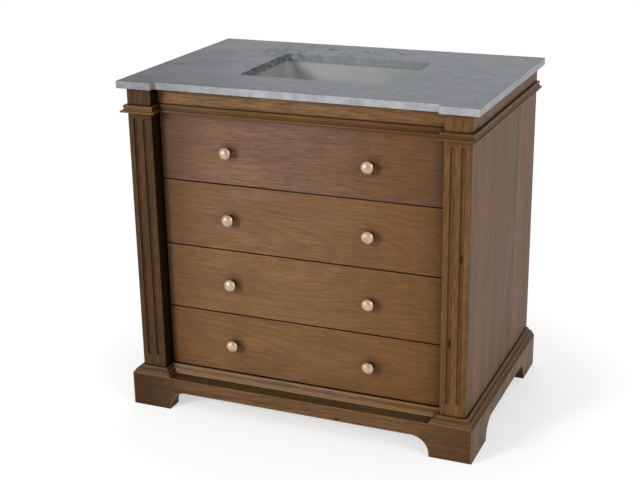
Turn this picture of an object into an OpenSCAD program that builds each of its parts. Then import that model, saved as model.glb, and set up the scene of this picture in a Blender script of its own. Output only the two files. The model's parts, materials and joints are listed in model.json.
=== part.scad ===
// Bathroom vanity unit: a chest of four drawers between fluted corner posts,
// on a bracket plinth, with a stone top and an undermount basin.
// Millimetres. X to the right, Y to the back, Z up from the floor.
// The origin is on the floor, at the middle of the plinth.

/* [Overall] */
// Height from the floor to the top of the stone
unit_h = 864; // [840:1:900]
// Width of the stone top
top_w = 914; // [880:1:960]
// Depth of the stone top at its corner blocks
top_d = 610; // [580:1:640]
// How far the stone stands out past the cabinet at each side
top_over_side = 19; // [16:0.5:30]
// How far the stone stands out past the corner posts at the front
top_over_front = 15; // [8:0.5:25]

/* [Stone top] */
// Thickness of the stone
top_t = 19; // [16:1:30]
// Width of the corner block that steps forward at each front corner
block_w = 94; // [60:1:120]
// How far the corner blocks step forward
block_step = 16; // [5:1:25]
// Eased edge round the stone
top_ease = 2; // [0.5:0.5:4]
// Width of the basin opening, left to right
bowl_w = 406; // [360:1:440]
// Depth of the basin opening, front to back
bowl_d = 292; // [260:1:310]
// Corner radius of the basin opening
bowl_r = 14; // [8:1:40]
// Diameter of a tap hole
tap_hole_d = 35; // [28:1:38]
// Distance between tap holes
tap_pitch = 101.6; // [80:0.1:110]
// From the back of the stone to the tap holes
tap_back = 68; // [50:1:85]

/* [Basin] */
// Inside depth of the bowl below the stone
bowl_depth = 140; // [110:1:150]
// Thickness of the ceramic
bowl_t = 10; // [8:1:13]
// Width of the rim that is clamped under the stone
rim_w = 28; // [22:1:34]
// Thickness of that rim
rim_t = 12; // [8:1:16]
// How far the bowl starts outside the edge of the stone opening
bowl_reveal = 3; // [1:0.5:6]
// How far each wall of the bowl leans in from rim to floor
bowl_lean = 34; // [15:1:45]
// Radius between wall and floor inside the bowl
bowl_fillet = 34; // [20:1:45]
// Diameter of the drain hole
drain_d = 45; // [40:0.5:48]
// Fall of the bowl's floor towards the drain
drain_fall = 5; // [2:0.5:8]
// Width of the flat ring round the drain
drain_ring = 11; // [8:1:16]
// Width of a basin clip
clip_w = 20; // [14:1:28]
// Thickness of a basin clip
clip_t = 2.5; // [1.5:0.5:4]
// Diameter of a clip screw
clip_screw_d = 6; // [4:0.5:8]
// How far each clip stands from the middle of the bowl, front to back
clip_y = 80; // [60:1:100]

/* [Corner posts] */
// Width of a corner post
post_w = 66; // [56:1:80]
// Depth of a corner post, front to back
post_d = 60; // [52:1:75]
// Rounding of a post's front corners
post_round = 2.5; // [1:0.5:4]
// Width of a flute
flute_w = 12; // [8:0.5:16]
// Depth of a flute
flute_depth = 4; // [2:0.5:5.5]
// Distance between the two flutes
flute_pitch = 26; // [22:1:32]
// From the neck moulding down to the flutes
flute_top_gap = 15; // [8:1:60]
// From the base moulding up to the flutes
flute_bottom_gap = 30; // [8:1:80]

/* [Carcass] */
// Thickness of a side panel
side_t = 18; // [15:1:22]
// Thickness of the cabinet's floor
floor_t = 18; // [15:1:19]
// How far the drawer fronts lie behind the face of the posts
drawer_recess = 36; // [20:1:45]
// Height of the frieze, from the neck moulding's underside to the stone
frieze_h = 60; // [45:1:80]
// Thickness of the frieze rail
frieze_t = 20; // [16:1:25]
// Thickness of the rails at the back
back_rail_t = 18; // [15:1:22]
// Height of the upper back rail
back_rail_h = 90; // [70:1:120]
// Height of the lower back rail
low_rail_h = 70; // [50:1:100]
// Diameter of the wall screw holes in the upper back rail
wall_hole_d = 6; // [4:0.5:8]
// Distance between the two wall screw holes
wall_hole_pitch = 600; // [400:1:640]
// Depth of a rear post, front to back
rear_post_d = 40; // [25:1:60]
// Leg length of a corner brace under the stone
brace_leg = 80; // [50:1:95]
// Thickness of a corner brace
brace_t = 20; // [15:1:25]
// Height of a slide cleat
cleat_h = 56; // [48:1:70]

/* [Mouldings] */
// Height of the neck moulding
neck_h = 18; // [14:1:24]
// How far the neck moulding stands out
neck_out = 14; // [12:0.5:17]
// Height of the base moulding
base_h = 19; // [19:1:24]
// How far the base moulding stands out
base_out = 20; // [15:0.5:21]
// Height of the square edge along the foot of the base moulding
base_lip = 4.5; // [3:0.5:6]
// Rounding at the top of a moulding
moulding_round = 1.5; // [0.5:0.25:2]
// Bevel on a moulding's sharp edges
moulding_arris = 0.8; // [0.2:0.1:1]

/* [Plinth] */
// Height of the plinth
plinth_h = 88; // [75:1:100]
// Thickness of the plinth boards
plinth_t = 44; // [30:1:50]
// How far the plinth stands out past the cabinet at the sides
plinth_over_side = 22.5; // [22:0.5:26]
// How far the plinth stands out past the posts at the front
plinth_over_front = 21; // [21:0.5:25]
// Height of the arch between the feet
arch_h = 51; // [30:1:58]
// Radius of the arch's corners
arch_r = 46; // [15:1:50]
// Width of a front foot at the floor, seen from the front
foot_w = 107; // [85:1:130]
// Width of a front foot at the floor, seen from the side
foot_side_front = 130; // [100:1:150]
// Width of a rear foot at the floor, seen from the side
foot_side_rear = 108; // [90:1:130]
// Leg of a glue block in the plinth's corners
glue_block = 34; // [20:1:36]

/* [Drawers] */
// How much lower the bottom drawer's front is than the three above it
last_less = 9; // [0:1:15]
// Gap round each drawer front
drawer_gap = 3; // [2:0.5:5]
// Thickness of a drawer front
front_t = 20; // [18:1:24]
// Eased edge of a drawer front
front_ease = 1.2; // [0.4:0.2:2]
// From the back of a drawer box to the back of the cabinet
box_back_gap = 89; // [60:1:120]
// From the upper edge of the drawer front down to the box
box_head = 36; // [20:1:50]
// Thickness of a drawer box's boards
box_t = 12; // [10:1:15]
// From the lower edge of the drawer front up to the box
box_rise = 12; // [8:1:18]
// Thickness of a drawer's bottom
bottom_t = 6; // [4:1:9]
// From the lower edge of the box up to the bottom
bottom_rise = 10; // [8:1:12]
// How deep the bottom sits in its grooves
groove = 6; // [4:0.5:7]
// Room between the bowl and the well in the top drawer
well_room = 18; // [16:1:24]
// Width of the trap's well in the second drawer
trap_w = 200; // [160:1:260]
// From the drain's axis forward to the front of the trap's well
trap_front = 60; // [45:1:80]

/* [Knobs] */
// Distance of each knob from the middle of the drawer
knob_x = 184; // [150:1:220]
// Diameter of a knob's head
knob_d = 32; // [26:1:36]
// How far a knob stands out from the drawer front
knob_out = 29; // [26:1:34]
// Diameter of a knob's base
knob_base_d = 17; // [13:0.5:22]
// Thickness of a knob's base at its edge
knob_base_t = 1.6; // [1:0.2:3]
// Diameter of a knob's neck
knob_neck_d = 9; // [7:0.5:11]
// Thickness of a knob's head
knob_head = 12.2; // [9:0.2:15]
// How far the head's face is domed
knob_dome = 7.5; // [4:0.5:9]
// Radius of the hollow between neck and head
knob_flare = 3; // [2:0.5:4]
// Rounding at the back of the head's edge
knob_rim = 2.4; // [1:0.2:3]
// Height of the plain band round the head's edge
knob_band = 1.4; // [0.4:0.2:2]
// Diameter of a knob screw
knob_screw_d = 4; // [3:0.5:5]
// Clearance round a screw in the hole it passes through
screw_play = 0.4; // [0.2:0.1:0.8]

/* [Slides] */
// Height of a slide's cabinet member
slide_h = 45; // [38:1:46]
// Thickness of a whole slide, cabinet to drawer box
slide_w = 12.7; // [12.5:0.1:14]
// Thickness of the slide's steel
steel_t = 1.2; // [1:0.1:1.4]
// Running gap between two members of a slide
slide_gap = 0.3; // [0.3:0.05:0.4]
// From the lower edge of the drawer box to the middle of its slide
slide_rise = 45; // [40:1:60]

/* [Hidden] */

// Faces of a round hole or post
round_fn = 48;
// Steps in a curve of a moulding
curve_n = 10;
// Steps in an eased edge
ease_n = 4;
// A cut reaches this far past the face it goes through
past = 1;
// Keeps neighbouring points of a ring apart
hair = 0.01;

// Widths and depths of the whole
cab_w = top_w - 2 * top_over_side;
cab_d = top_d - top_over_front;
plinth_w = cab_w + 2 * plinth_over_side;
plinth_d = cab_d + plinth_over_front;
inner_w = cab_w - 2 * post_w;
cab_x = cab_w / 2;
inner_x = inner_w / 2;
liner_x = cab_x - side_t;

// Planes front to back
back_y = plinth_d / 2;
post_y = back_y - cab_d;
front_y = post_y + drawer_recess;
post_back_y = post_y + post_d;
plinth_y = back_y - plinth_d;

// Levels
top_z = unit_h - top_t;
neck_z = top_z - frieze_h;
floor_z = plinth_h + floor_t;
drawers_top = neck_z - drawer_gap;
drawers_low = plinth_h + base_h + drawer_gap;

// Basin
bowl_y = back_y - top_d / 2;
rim_edge_x = bowl_w / 2 + rim_w;
rim_z = top_z - rim_t;
bowl_floor_z = top_z - bowl_depth;
drain_z = bowl_floor_z - drain_fall;
// Share of the lean that the bowl's straight wall takes, above its turn into the floor
wall_share = 0.8;
// Rings in the straight wall, and in the turn
wall_n = 3;
turn_n = 6;
// A clip's reach under the rim, its reach outward, and the width of its foot
clip_reach = 12;
clip_out = 34;
clip_leg = 8;
clip_screw_x = rim_edge_x + (clip_out - clip_leg) / 2;
// How far a clip screw goes up into the stone
clip_screw_in = 8;
clip_head_d = 2 * clip_screw_d;
clip_head_h = clip_screw_d / 2;

// Drawers, numbered from the top
drawer_count = 4;
drawers_h = drawers_top - drawers_low - (drawer_count - 1) * drawer_gap;
drawer_h = (drawers_h + last_less) / drawer_count;
front_w = inner_w - 2 * drawer_gap;
box_w = inner_w - 2 * slide_w;
box_x = box_w / 2;
box_y = front_y + front_t;
box_back_y = back_y - box_back_gap;
box_l = box_back_y - box_y;
well_x = bowl_w / 2 + bowl_reveal + bowl_t + well_room / 2;
well_y = bowl_y - bowl_d / 2 - bowl_reveal - bowl_t - well_room;
trap_y = bowl_y - trap_front;

// Slide members, measured inward from the cleat's face
middle_in = steel_t + slide_gap;
middle_w = slide_w - steel_t - slide_gap - middle_in;
inner_in = middle_in + steel_t + slide_gap;
// The slides end flush with the back of the drawer box
slide_y = box_y + slide_gap;
slide_l = box_l - slide_gap;

// Knob screw: its head bears on the back of the drawer front
screw_head_d = 2 * knob_screw_d;
screw_head_h = knob_screw_d * 0.6;
// Depth of the hole in the knob, and how far short of it the screw ends
screw_in = 10;
screw_tip = 1;
// Gap round a screw in the hole that holds it
screw_fit = 0.05;

walnut = [0.42, 0.31, 0.22];
walnut_dark = [0.34, 0.25, 0.17];
walnut_post = [0.40, 0.32, 0.21];
walnut_side = [0.45, 0.37, 0.31];
birch = [0.80, 0.70, 0.55];
stone = [0.78, 0.79, 0.81];
glaze = [0.93, 0.93, 0.91];
nickel = [0.80, 0.74, 0.66];
steel = [0.66, 0.67, 0.69];

function drawer_front_h(i) = i < drawer_count ? drawer_h : drawer_h - last_less;
function drawer_z(i) = i < drawer_count
  ? drawers_top - i * drawer_h - (i - 1) * drawer_gap
  : drawers_low;
function box_z(i) = drawer_z(i) + box_rise;
function box_h(i) = drawer_front_h(i) - box_rise - box_head;
function slide_z(i) = box_z(i) + slide_rise;
function knob_z(i) = drawer_z(i) + drawer_front_h(i) / 2;

// Points of an arc about (cx, cy), from angle a to angle b
function arc(cx, cy, rx, ry, a, b, n = curve_n) = [
  for (k = [0 : n]) let (t = a + (b - a) * k / n) [cx + rx * cos(t), cy + ry * sin(t)]
];

// Outline of a rectangle whose corners are rounded by r
function soft_rect(x0, x1, y0, y1, r) = concat(
  arc(x0 + r, y0 + r, r, r, 180, 270, ease_n),
  arc(x1 - r, y0 + r, r, r, 270, 360, ease_n),
  arc(x1 - r, y1 - r, r, r, 0, 90, ease_n),
  arc(x0 + r, y1 - r, r, r, 90, 180, ease_n)
);

// A slab of stone with its upper and lower edges eased all round
module eased_slab(x0, x1, y0, y1, z0, z1, ease) {
  intersection() {
    rotate([90, 0, 0]) translate([0, 0, -y1]) linear_extrude(y1 - y0)
      polygon(soft_rect(x0, x1, z0, z1, ease));
    rotate([90, 0, 90]) translate([0, 0, x0]) linear_extrude(x1 - x0)
      polygon(soft_rect(y0, y1, z0, z1, ease));
  }
}

// An upright board, t thick, with the edges of its front face eased
module eased_panel(w, h, t, ease) {
  intersection() {
    translate([0, 0, -h / 2]) linear_extrude(h) polygon(concat(
      [[-w / 2, t]],
      arc(-w / 2 + ease, ease, ease, ease, 180, 270, ease_n),
      arc(w / 2 - ease, ease, ease, ease, 270, 360, ease_n),
      [[w / 2, t]]
    ));
    rotate([90, 0, 90]) translate([0, 0, -w / 2]) linear_extrude(w) polygon(concat(
      [[t, -h / 2]],
      arc(ease, -h / 2 + ease, ease, ease, 270, 180, ease_n),
      arc(ease, h / 2 - ease, ease, ease, 180, 90, ease_n),
      [[t, h / 2]]
    ));
  }
}

// Both sides: the children as drawn on the right, and mirrored to the left
module both_sides() {
  children();
  mirror([1, 0, 0]) children();
}

// Upright prism with rounded corners: the basin opening
module rounded_prism(w, d, r, h) {
  translate([-w / 2 + r, -d / 2, 0]) cube([w - 2 * r, d, h]);
  translate([-w / 2, -d / 2 + r, 0]) cube([w, d - 2 * r, h]);
  for (x = [-1, 1])
    for (y = [-1, 1])
      translate([x * (w / 2 - r), y * (d / 2 - r), 0]) cylinder(h = h, r = r, $fn = round_fn);
}

module marble_top() {
  x = top_w / 2;
  front = back_y - top_d;
  color(stone) difference() {
    union() {
      eased_slab(-x, x, front + block_step, back_y, top_z, unit_h, top_ease);
      eased_slab(-x, -x + block_w, front, back_y, top_z, unit_h, top_ease);
      eased_slab(x - block_w, x, front, back_y, top_z, unit_h, top_ease);
    }
    translate([0, bowl_y, top_z - past]) rounded_prism(bowl_w, bowl_d, bowl_r, top_t + 2 * past);
    for (k = [-1 : 1])
      translate([k * tap_pitch, back_y - tap_back, top_z - past])
        cylinder(h = top_t + 2 * past, d = tap_hole_d, $fn = round_fn);
    clip_places() translate([0, 0, top_z - past])
      cylinder(h = clip_screw_in + past, d = clip_screw_d + 2 * screw_fit, $fn = round_fn);
  }
}

// One ring of the bowl: a rounded rectangle at level z
function bowl_ring(w, d, r, z, n = 8) = [
  for (q = [0 : 3])
    for (k = [0 : n])
      let (
        sx = q == 0 || q == 3 ? 1 : -1,
        sy = q < 2 ? 1 : -1,
        t = 90 * q + 90 * k / n
      ) [sx * (w / 2 - r) + r * cos(t), bowl_y + sy * (d / 2 - r) + r * sin(t), z]
];

// The bowl's surface at a distance g outside the glaze, from the rim down to the drain
function wall_in(g, t) = t * bowl_lean - bowl_reveal - g;
function bowl_rings(g, z_top) = let (
  r0 = bowl_r + bowl_reveal + g,
  r1 = bowl_r + bowl_lean,
  fr = bowl_fillet,
  z_low = bowl_floor_z - g,
  z_turn = bowl_floor_z + fr,
  ring_r = drain_d / 2 + drain_ring
) concat(
  [bowl_ring(bowl_w - 2 * wall_in(g, 0), bowl_d - 2 * wall_in(g, 0), r0, z_top)],
  [for (k = [1 : wall_n])
    let (t = k / wall_n, z = z_top + (z_turn - z_top) * t, i = wall_in(g, t * wall_share))
    bowl_ring(bowl_w - 2 * i, bowl_d - 2 * i, r0 + (r1 - r0) * t * wall_share, z)],
  [for (k = [1 : turn_n])
    let (
      t = 90 * k / turn_n,
      i = wall_in(g, wall_share) + fr * (1 - cos(t)),
      z = z_turn - (z_turn - z_low) * sin(t)
    )
    bowl_ring(bowl_w - 2 * i, bowl_d - 2 * i, r1 + fr * (1 - cos(t)) / 2, z)],
  [bowl_ring(2 * ring_r, 2 * ring_r, ring_r - hair, z_low - drain_fall)]
);

module basin() {
  inner = bowl_rings(0, top_z);
  outer = bowl_rings(bowl_t, rim_z);
  rim = [for (z = [rim_z, top_z])
    bowl_ring(bowl_w + 2 * rim_w, bowl_d + 2 * rim_w, bowl_r + rim_w, z)];
  n_outer = len(outer);
  rings = concat([for (k = [n_outer - 1 : -1 : 0]) outer[k]], rim, inner);
  n = len(rings[0]);
  m = len(rings);
  points = [for (ring = rings) for (p = ring) p];
  quads = [for (j = [0 : m - 2]) for (k = [0 : n - 1])
    [j * n + k, (j + 1) * n + k, (j + 1) * n + (k + 1) % n, j * n + (k + 1) % n]];
  tris = [for (q = quads) for (half = [[q[0], q[1], q[2]], [q[0], q[2], q[3]]]) half];
  caps = [[for (k = [0 : n - 1]) k], [for (k = [n - 1 : -1 : 0]) (m - 1) * n + k]];
  color(glaze) difference() {
    polyhedron(points, concat(tris, caps));
    translate([0, bowl_y, drain_z - bowl_t - past])
      cylinder(h = bowl_t + 2 * past, d = drain_d, $fn = round_fn);
  }
}

// Where the basin clips are screwed up into the stone
module clip_places() {
  for (x = [-1, 1])
    for (y = [-1, 1])
      translate([x * clip_screw_x, bowl_y + y * clip_y, 0]) children();
}

module basin_clips() {
  low = rim_z - clip_t;
  color(steel) both_sides()
    for (y = [-1, 1])
      translate([0, bowl_y + y * clip_y, 0]) {
        difference() {
          translate([rim_edge_x - clip_reach, -clip_w / 2, low])
            cube([clip_reach + clip_out, clip_w, clip_t]);
          translate([clip_screw_x, 0, low - past])
            cylinder(h = clip_t + 2 * past, d = clip_screw_d + screw_play, $fn = round_fn);
        }
        translate([rim_edge_x + clip_out - clip_leg, -clip_w / 2, rim_z])
          cube([clip_leg, clip_w, rim_t]);
      }
}

module basin_clip_screws() {
  low = rim_z - clip_t;
  color(steel) clip_places() {
    translate([0, 0, low - clip_head_h])
      cylinder(h = clip_head_h, d = clip_head_d, $fn = round_fn);
    translate([0, 0, low])
      cylinder(h = clip_t + rim_t + clip_screw_in, d = clip_screw_d, $fn = round_fn);
  }
}

module side_panel() {
  translate([liner_x, post_back_y, plinth_h])
    cube([side_t, back_y - post_back_y, top_z - plinth_h]);
}

module side_panel_left() {
  color(walnut_side) mirror([1, 0, 0]) side_panel();
}

module side_panel_right() {
  color(walnut_side) side_panel();
}

// Plan of a post, with its two front corners rounded
module post_plan() {
  r = post_round;
  polygon(concat(
    arc(inner_x + r, post_y + r, r, r, 180, 270, 5),
    arc(cab_x - r, post_y + r, r, r, 270, 360, 5),
    [[cab_x, post_back_y], [inner_x, post_back_y]]
  ));
}

module pilaster() {
  flute_r = (flute_w * flute_w / 4 + flute_depth * flute_depth) / (2 * flute_depth);
  low = plinth_h + base_h + flute_bottom_gap + flute_w / 2;
  high = neck_z - flute_top_gap - flute_w / 2;
  difference() {
    translate([0, 0, plinth_h]) linear_extrude(top_z - plinth_h) post_plan();
    for (s = [-1, 1])
      translate([cab_x - post_w / 2 + s * flute_pitch / 2, post_y - flute_r + flute_depth, 0]) {
        translate([0, 0, low]) cylinder(h = high - low, r = flute_r, $fn = round_fn);
        for (z = [low, high])
          translate([0, 0, z]) sphere(r = flute_r, $fn = round_fn);
      }
  }
}

module pilaster_left() {
  color(walnut_post) mirror([1, 0, 0]) pilaster();
}

module pilaster_right() {
  color(walnut_post) pilaster();
}

module frieze_rail() {
  color(walnut) translate([-inner_x, front_y, neck_z]) cube([inner_w, frieze_t, frieze_h]);
}

module floor_panel() {
  color(walnut_dark) translate([0, 0, plinth_h]) linear_extrude(floor_t)
    polygon([
      [-inner_x, front_y], [inner_x, front_y],
      [inner_x, post_back_y], [liner_x, post_back_y],
      [liner_x, back_y], [-liner_x, back_y],
      [-liner_x, post_back_y], [-inner_x, post_back_y]
    ]);
}

module back_rail_top() {
  z = top_z - back_rail_h;
  color(birch) difference() {
    translate([-inner_x, back_y - back_rail_t, z]) cube([inner_w, back_rail_t, back_rail_h]);
    for (s = [-1, 1])
      translate([s * wall_hole_pitch / 2, back_y + past, z + back_rail_h / 2])
        rotate([90, 0, 0]) cylinder(h = back_rail_t + 2 * past, d = wall_hole_d, $fn = round_fn);
  }
}

module back_rail_bottom() {
  color(birch) translate([-inner_x, back_y - back_rail_t, floor_z])
    cube([inner_w, back_rail_t, low_rail_h]);
}

module rear_posts() {
  color(birch) both_sides()
    translate([inner_x, back_y - rear_post_d, floor_z])
      cube([liner_x - inner_x, rear_post_d, top_z - floor_z]);
}

// Braces under the stone, and glue blocks in the plinth's corners
module corner_blocks() {
  y0 = front_y + frieze_t;
  y1 = back_y - back_rail_t;
  px = plinth_w / 2 - plinth_t;
  py = plinth_y + plinth_t;
  color(birch) both_sides() {
    translate([0, 0, top_z - brace_t]) linear_extrude(brace_t) {
      polygon([
        [liner_x, post_back_y], [inner_x, post_back_y], [inner_x, y0],
        [inner_x - brace_leg, y0], [liner_x, post_back_y + brace_leg]
      ]);
      polygon([[inner_x, y1], [inner_x - brace_leg, y1], [inner_x, y1 - brace_leg]]);
    }
    translate([0, 0, arch_h]) linear_extrude(plinth_h - arch_h) {
      polygon([[px, py], [px - glue_block, py], [px, py + glue_block]]);
      polygon([[px, y1], [px - glue_block, y1], [px, y1 - glue_block]]);
    }
  }
}

module slide_cleats() {
  l = back_y - rear_post_d - post_back_y;
  color(birch) both_sides()
    for (i = [1 : drawer_count])
      translate([inner_x, post_back_y, slide_z(i) - cleat_h / 2])
        cube([liner_x - inner_x, l, cleat_h]);
}

// A steel channel that runs front to back, open towards -X (way -1) or +X (way 1)
module channel(x_web, w, h, y, l, way) {
  translate([x_web, y, -h / 2]) mirror([way < 0 ? 1 : 0, 0, 0]) difference() {
    cube([w, l, h]);
    translate([steel_t, -past, steel_t]) cube([w, l + 2 * past, h - 2 * steel_t]);
  }
}

module slide_cabinet_members() {
  color(steel) both_sides()
    for (i = [1 : drawer_count])
      translate([0, 0, slide_z(i)])
        channel(inner_x, slide_w - steel_t - 2 * slide_gap, slide_h, slide_y, slide_l, -1);
}

module slide_middles(i) {
  h = slide_h - 2 * steel_t - 2 * slide_gap;
  color(steel) both_sides() translate([0, 0, slide_z(i)])
    channel(inner_x - middle_in, middle_w, h, slide_y, slide_l, -1);
}

module drawer_slide_members(i) {
  h = slide_h - 4 * steel_t - 4 * slide_gap;
  color(steel) both_sides() translate([0, 0, slide_z(i)])
    channel(box_x, slide_w - inner_in, h, slide_y, slide_l, 1);
}

// Section of the neck moulding, outward from the wall and up from its underside
function neck_profile() = let (
  band = neck_h * 0.36,
  lip = neck_h * 0.22,
  ledge = neck_out * 0.56,
  quirk = neck_out * 0.44
) concat(
  [[0, 0], [neck_out - moulding_arris, 0], [neck_out, moulding_arris], [neck_out, lip]],
  arc(neck_out, neck_h - band, neck_out - quirk, neck_h - band - lip, 270, 180),
  [[ledge, neck_h - band]],
  arc(ledge - moulding_round, neck_h - moulding_round, moulding_round, moulding_round, 0, 90, ease_n),
  [[0, neck_h]]
);

// Section of the base moulding: a square edge below, an S-shaped slope above
function base_profile() = let (
  step = base_out * 0.84,
  mid = base_out * 0.6,
  high = base_out * 0.3,
  z_low = base_lip + moulding_arris,
  z_mid = (base_h + base_lip) / 2,
  z_high = base_h - moulding_round
) concat(
  [[0, 0], [base_out, 0], [base_out, base_lip - moulding_arris], [base_out - moulding_arris, base_lip]],
  [[step, base_lip]],
  arc(mid, z_low, step - mid, z_mid - z_low, 0, 90),
  arc(mid, z_high, mid - high, z_high - z_mid, 270, 180),
  [[high - moulding_round, base_h], [0, base_h]]
);

// A length of moulding against a wall, cut to the plan that its mitres leave
module moulding(profile, z, plan, x, y, turn, reach) {
  intersection() {
    translate([x, y, z]) rotate([0, 0, turn]) translate([reach, 0, 0]) rotate([90, 0, -90])
      linear_extrude(2 * reach) polygon(profile);
    translate([0, 0, z - past]) linear_extrude(max(neck_h, base_h) + 2 * past) polygon(plan);
  }
}

// Front run between the posts
module moulding_center(profile, z, out) {
  moulding(profile, z, [
    [-inner_x, front_y], [-inner_x + out, front_y - out],
    [inner_x - out, front_y - out], [inner_x, front_y]
  ], 0, front_y, 0, inner_w);
}

// Three mitred lengths round the right post: its inner side, its front and the cabinet's side
module moulding_corner(profile, z, out) {
  moulding(profile, z, [
    [inner_x, front_y], [inner_x - out, front_y - out],
    [inner_x - out, post_y - out], [inner_x, post_y]
  ], inner_x, front_y, -90, top_d);
  moulding(profile, z, [
    [inner_x, post_y], [inner_x - out, post_y - out],
    [cab_x + out, post_y - out], [cab_x, post_y]
  ], cab_x, post_y, 0, top_w);
  moulding(profile, z, [
    [cab_x, post_y], [cab_x + out, post_y - out], [cab_x + out, back_y], [cab_x, back_y]
  ], cab_x, post_y, 90, top_d);
}

module neck_moulding_center() {
  color(walnut) moulding_center(neck_profile(), neck_z, neck_out);
}

module neck_moulding_left() {
  color(walnut) mirror([1, 0, 0]) moulding_corner(neck_profile(), neck_z, neck_out);
}

module neck_moulding_right() {
  color(walnut) moulding_corner(neck_profile(), neck_z, neck_out);
}

module base_moulding_center() {
  color(walnut_dark) moulding_center(base_profile(), plinth_h, base_out);
}

module base_moulding_left() {
  color(walnut_dark) mirror([1, 0, 0]) moulding_corner(base_profile(), plinth_h, base_out);
}

module base_moulding_right() {
  color(walnut_dark) moulding_corner(base_profile(), plinth_h, base_out);
}

// The arch's opening from x0 to x1, cut through a board that lies from y = 0 to y = t
module arch(x0, x1, t) {
  translate([x0 + arch_r, -past, -past]) cube([x1 - x0 - 2 * arch_r, t + 2 * past, arch_h + past]);
  translate([x0, -past, -past]) cube([x1 - x0, t + 2 * past, arch_h - arch_r + past]);
  for (x = [x0 + arch_r, x1 - arch_r])
    translate([x, -past, arch_h - arch_r]) rotate([-90, 0, 0])
      cylinder(h = t + 2 * past, r = arch_r, $fn = round_fn);
}

module plinth_front() {
  x = plinth_w / 2;
  color(walnut_dark) difference() {
    linear_extrude(plinth_h)
      polygon([[-x, plinth_y], [x, plinth_y], [x - plinth_t, plinth_y + plinth_t],
               [-x + plinth_t, plinth_y + plinth_t]]);
    translate([0, plinth_y, 0]) arch(-x + foot_w, x - foot_w, plinth_t);
  }
}

module plinth_side() {
  x = plinth_w / 2;
  difference() {
    linear_extrude(plinth_h)
      polygon([[x, plinth_y], [x, back_y], [x - plinth_t, back_y], [x - plinth_t, plinth_y + plinth_t]]);
    translate([x, 0, 0]) rotate([0, 0, 90])
      arch(plinth_y + foot_side_front, back_y - foot_side_rear, plinth_t);
  }
}

module plinth_left() {
  color(walnut_dark) mirror([1, 0, 0]) plinth_side();
}

module plinth_right() {
  color(walnut_dark) plinth_side();
}

module plinth_back() {
  w = plinth_w - 2 * plinth_t;
  z = arch_h;
  color(birch) translate([-w / 2, back_y - back_rail_t, z]) cube([w, back_rail_t, plinth_h - z]);
}

module drawer_front(i) {
  h = drawer_front_h(i);
  color(walnut) difference() {
    translate([0, front_y, knob_z(i)]) eased_panel(front_w, h, front_t, front_ease);
    for (s = [-1, 1])
      translate([s * knob_x, front_y - past, knob_z(i)]) rotate([-90, 0, 0])
        cylinder(h = front_t + 2 * past, d = knob_screw_d + screw_play, $fn = round_fn);
  }
}

// The groove for a drawer's bottom, and the space that the bottom fills
module bottom_slab(i, in_x, y0, y1) {
  translate([-in_x, y0, box_z(i) + bottom_rise]) cube([2 * in_x, y1 - y0, bottom_t]);
}

module drawer_sides(i) {
  color(birch) both_sides() difference() {
    translate([box_x - box_t, box_y, box_z(i)]) cube([box_t, box_l, box_h(i)]);
    bottom_slab(i, box_x - box_t + groove, box_y - past, box_back_y + past);
  }
}

// Two walls and a cross wall round a well that is open at the back
module drawer_well(i, x, y) {
  low = box_z(i) + bottom_rise + bottom_t;
  h = box_z(i) + box_h(i) - low;
  color(birch) {
    both_sides() translate([x, y, low]) cube([box_t, box_back_y - y, h]);
    translate([-x - box_t, y - box_t, low]) cube([2 * x + 2 * box_t, box_t, h]);
  }
}

// Back board, over the bottom; with a well, one short board at each side of it
module drawer_back(i, well) {
  low = box_z(i) + bottom_rise + bottom_t;
  x = box_x - box_t;
  h = box_z(i) + box_h(i) - low;
  color(birch) {
    if (well > 0)
      both_sides() translate([well + box_t, box_back_y - box_t, low])
        cube([x - well - box_t, box_t, h]);
    else
      translate([-x, box_back_y - box_t, low]) cube([2 * x, box_t, h]);
  }
}

// Bottom board, cut away inside a well from y to the back
module drawer_bottom(i, well, y) {
  color(birch) difference() {
    bottom_slab(i, box_x - box_t + groove, box_y, box_back_y);
    if (well > 0)
      translate([-well, y, box_z(i)]) cube([2 * well, box_back_y - y + past, box_h(i)]);
  }
}

// Half section of a knob, radius against distance from the drawer front
function knob_profile() = let (
  r = knob_d / 2,
  nr = knob_neck_d / 2,
  br = knob_base_d / 2,
  rim = knob_out - knob_dome,
  back = knob_out - knob_head,
  sweep = (br - nr) * 0.8
) concat(
  [[0, 0], [br, 0], [br, knob_base_t]],
  arc(br, knob_base_t + sweep, br - nr, sweep, 270, 180, 6),
  [[nr, back - knob_flare]],
  arc(nr + knob_flare, back - knob_flare, knob_flare, knob_flare, 180, 90, 4),
  arc(r - knob_rim, rim - knob_band, knob_rim, rim - knob_band - back, 270, 360, 6),
  arc(0, rim, r, knob_dome, 0, 90, 14)
);

module drawer_knobs(i) {
  color(nickel) both_sides()
    translate([knob_x, front_y, knob_z(i)]) rotate([90, 0, 0]) difference() {
      rotate_extrude($fn = round_fn) polygon(knob_profile());
      translate([0, 0, -past])
        cylinder(h = screw_in + past, d = knob_screw_d + 2 * screw_fit, $fn = round_fn);
    }
}

module drawer_knob_screws(i) {
  color(steel) both_sides()
    translate([knob_x, front_y + front_t, knob_z(i)]) rotate([90, 0, 0]) {
      translate([0, 0, -screw_head_h])
        cylinder(h = screw_head_h, d = screw_head_d, $fn = round_fn);
      cylinder(h = front_t + screw_in - screw_tip, d = knob_screw_d, $fn = round_fn);
    }
}

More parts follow.
